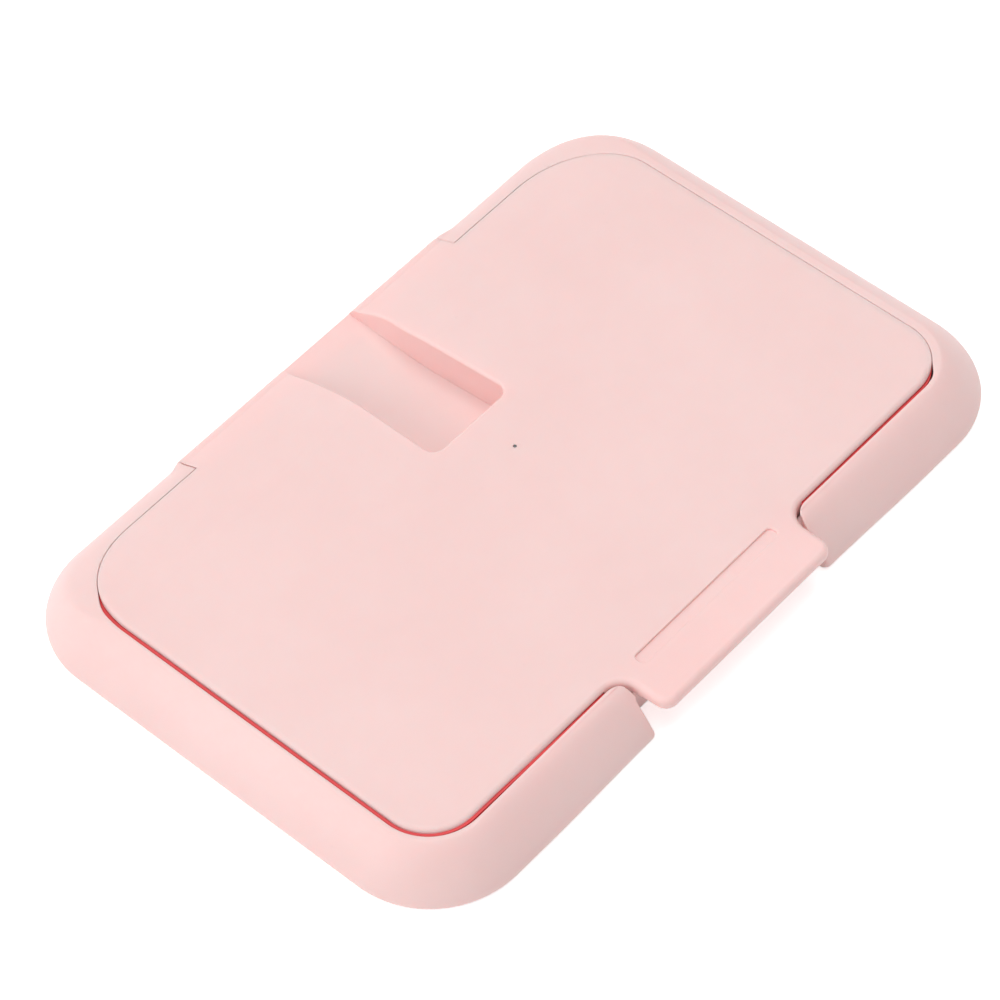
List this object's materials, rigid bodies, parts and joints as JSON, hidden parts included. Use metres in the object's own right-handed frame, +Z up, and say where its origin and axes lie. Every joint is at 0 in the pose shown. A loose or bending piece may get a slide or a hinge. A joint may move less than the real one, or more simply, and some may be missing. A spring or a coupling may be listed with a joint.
{
  "type": "baby wipe warmer",
  "caption": "Slim heated flip-lid unit for a soft pack of baby wipes: a domed rim frame, a flush lid with a lift tab and a plug recess, on two rear pins.",
  "frame": {"origin": "centre of the rim frame's underside; Z = 0 is the surface it lies on", "axes": "+X along the long side, +Y from the lift tab to the hinge, +Z up out of the lid"},
  "size_m": [0.19, 0.1285, 0.0124],
  "materials": {
    "shell_pink": "satin moulded",
    "inner_pink": "matte moulded",
    "coral_silicone": "matte silicone",
    "foam_tape": "foam",
    "steel": "zinc plated",
    "aluminium": "satin",
    "amber_film": "polyimide film",
    "white_foam": "foam",
    "board_green": "solder mask",
    "socket_metal": "tin plated",
    "black_plastic": "moulded",
    "ceramic_tan": "ceramic",
    "clear_plastic": "clear",
    "red_silicone": "silicone sleeve",
    "black_silicone": "silicone sleeve"
  },
  "bodies": {
    "base": {"rim_frame": "shell_pink", "base_plate": "inner_pink", "window_seal": "coral_silicone", "adhesive_ring": "foam_tape", "hinge_pins": "steel", "base_screws": "steel"},
    "lid": {"lid_shell": "shell_pink", "seam_seal": "coral_silicone", "lid_liner": "inner_pink", "liner_gasket": "coral_silicone", "liner_screws": "steel", "heater_plate": "aluminium", "heater_film": "amber_film", "insulation_pad": "white_foam", "control_board": "board_green", "board_screws": "steel", "power_socket": "socket_metal", "controller_chip": "black_plastic", "power_transistor": "black_plastic", "board_capacitors": "ceramic_tan", "status_led": "clear_plastic", "light_pipe": "clear_plastic", "thermistor": "black_plastic", "thermal_fuse": "socket_metal", "lead_red": "red_silicone", "lead_black": "black_silicone"}
  },
  "joints": [
    {"name": "lid_hinge", "type": "hinge", "parent": "base", "child": "lid", "pos_m": [0, 0.0602, 0.003], "axis": [-1, 0, 0], "range_deg": [0, 110]}
  ]
}
